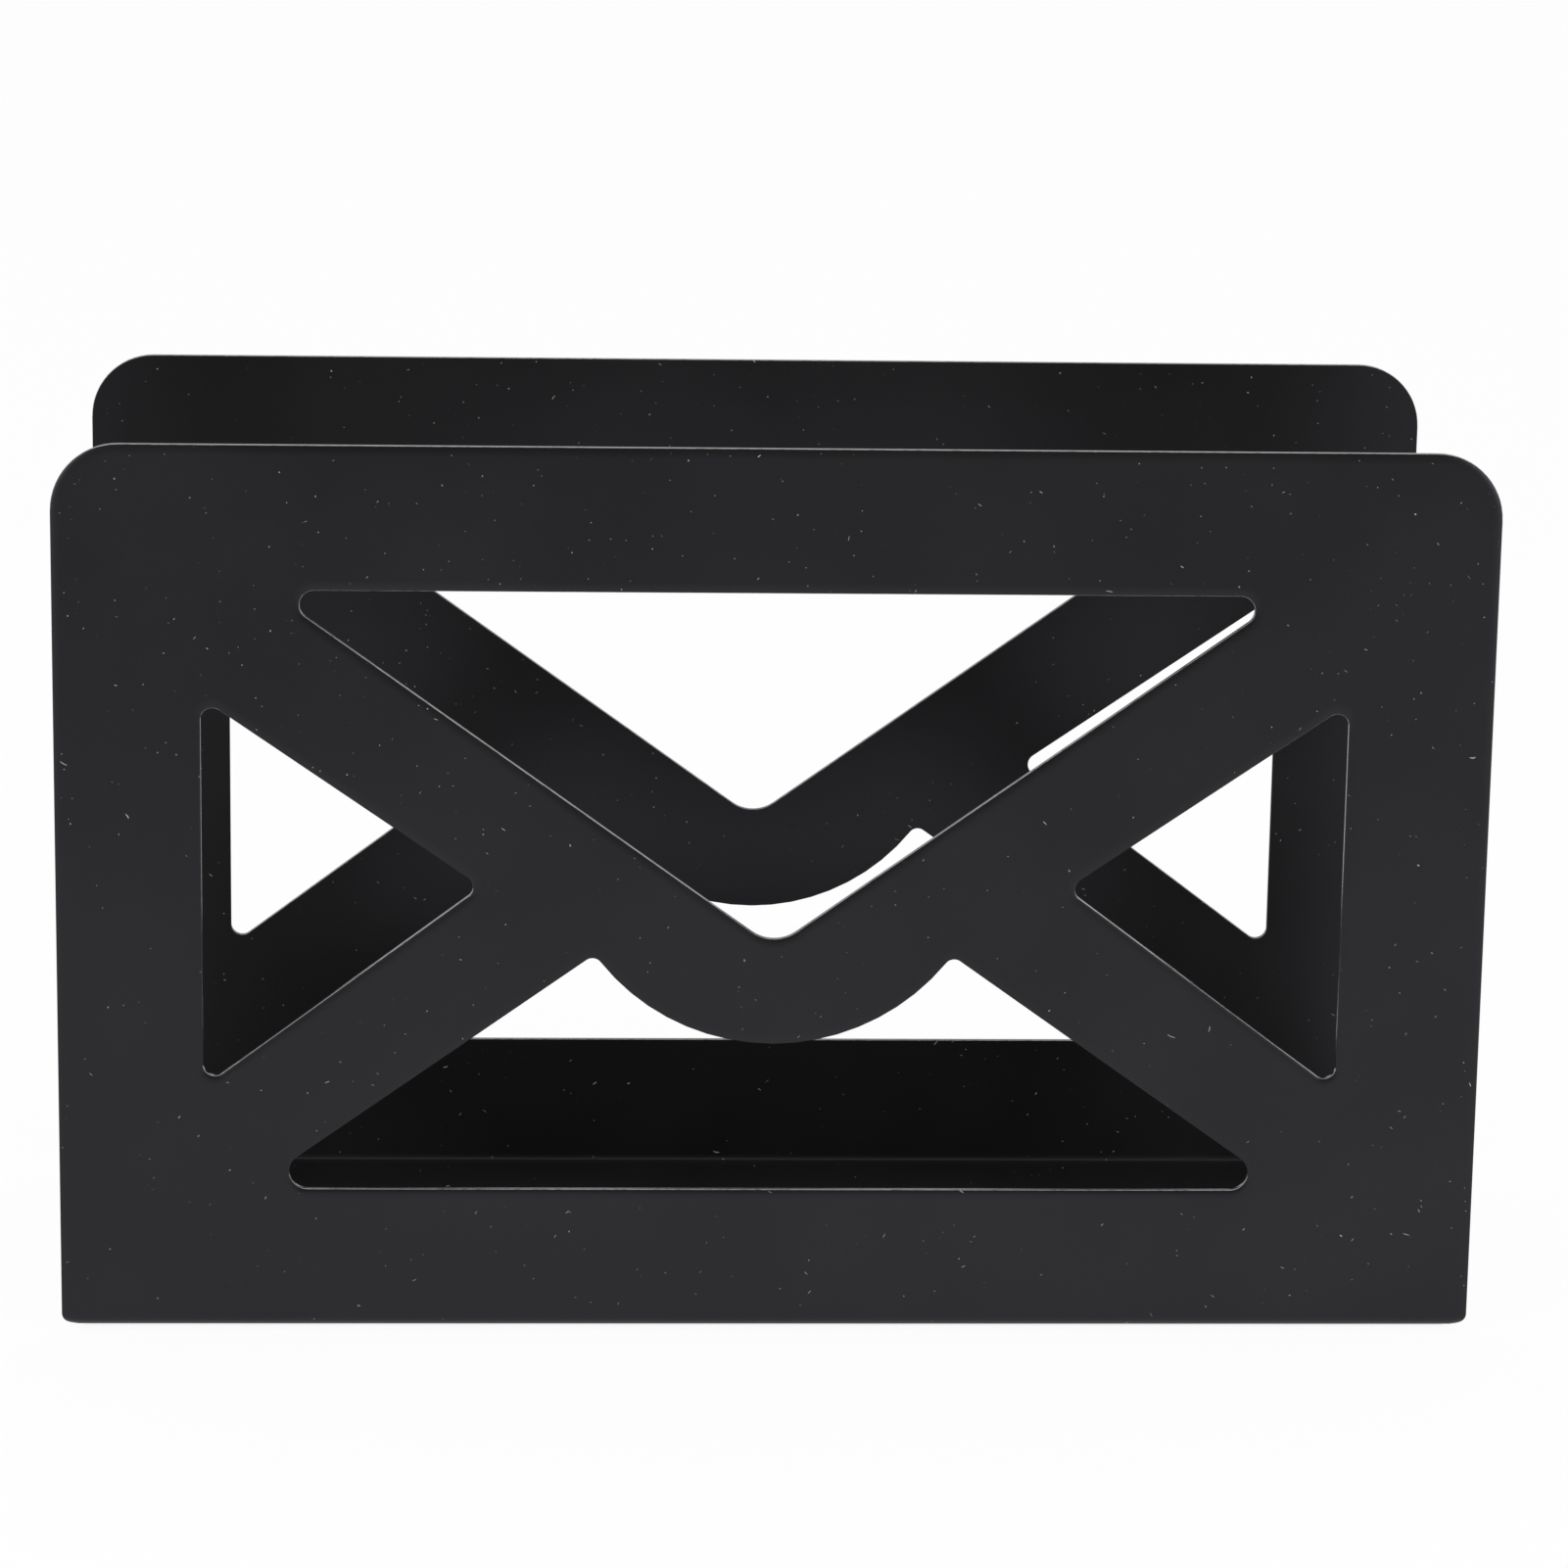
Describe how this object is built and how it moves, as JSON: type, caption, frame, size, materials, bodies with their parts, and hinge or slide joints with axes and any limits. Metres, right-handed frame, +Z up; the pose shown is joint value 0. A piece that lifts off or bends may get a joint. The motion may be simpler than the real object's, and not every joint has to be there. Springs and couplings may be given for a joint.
{
  "type": "mail holder",
  "caption": "Desk mail holder bent from one black coated steel sheet into a U, with an envelope pattern cut through its front and back panels.",
  "frame": {"origin": "under the middle of the holder, on the surface that its pads stand on", "axes": "+X across the panels, +Y from the front panel to the back panel, +Z up"},
  "size_m": [0.18, 0.07, 0.1145],
  "materials": {
    "powder_coat": "matte black powder coat with a fine grain",
    "pad_rubber": "matte",
    "adhesive_film": "thin translucent film"
  },
  "bodies": {
    "root": {"bent_sheet": "powder_coat", "front_left_pad": "pad_rubber", "front_left_adhesive": "adhesive_film", "front_right_pad": "pad_rubber", "front_right_adhesive": "adhesive_film", "back_left_pad": "pad_rubber", "back_left_adhesive": "adhesive_film", "back_right_pad": "pad_rubber", "back_right_adhesive": "adhesive_film"}
  },
  "joints": []
}
